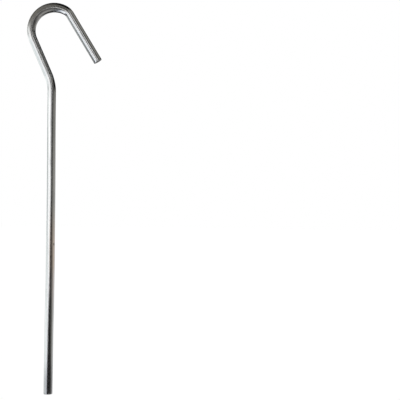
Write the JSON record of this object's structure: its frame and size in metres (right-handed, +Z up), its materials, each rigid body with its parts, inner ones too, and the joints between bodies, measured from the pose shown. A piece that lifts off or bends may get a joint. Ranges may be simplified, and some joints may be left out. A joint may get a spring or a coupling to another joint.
{
  "type": "tent stake",
  "caption": "Hooked wire tent stake: a straight round shank to push into the ground, a cranked neck and a narrow hook with a free leg that holds a guy line or peg loop.",
  "frame": {"origin": "centre of the cropped tip, the end that goes into the ground", "axes": "+Z up along the shank, from the tip to the hook; the whole wire lies in the XZ plane, with the neck leaning to -X and the free leg of the hook pointing down to +X; Y runs through the wire's thickness"},
  "size_m": [0.0345, 0.004, 0.18],
  "materials": {
    "zinc_plated_steel": "bright zinc plating over drawn wire: glossy along the wire, with fine drawing lines and a duller, mottled crown where it was bent"
  },
  "bodies": {
    "root": {"stake_wire": "zinc_plated_steel"}
  },
  "joints": []
}
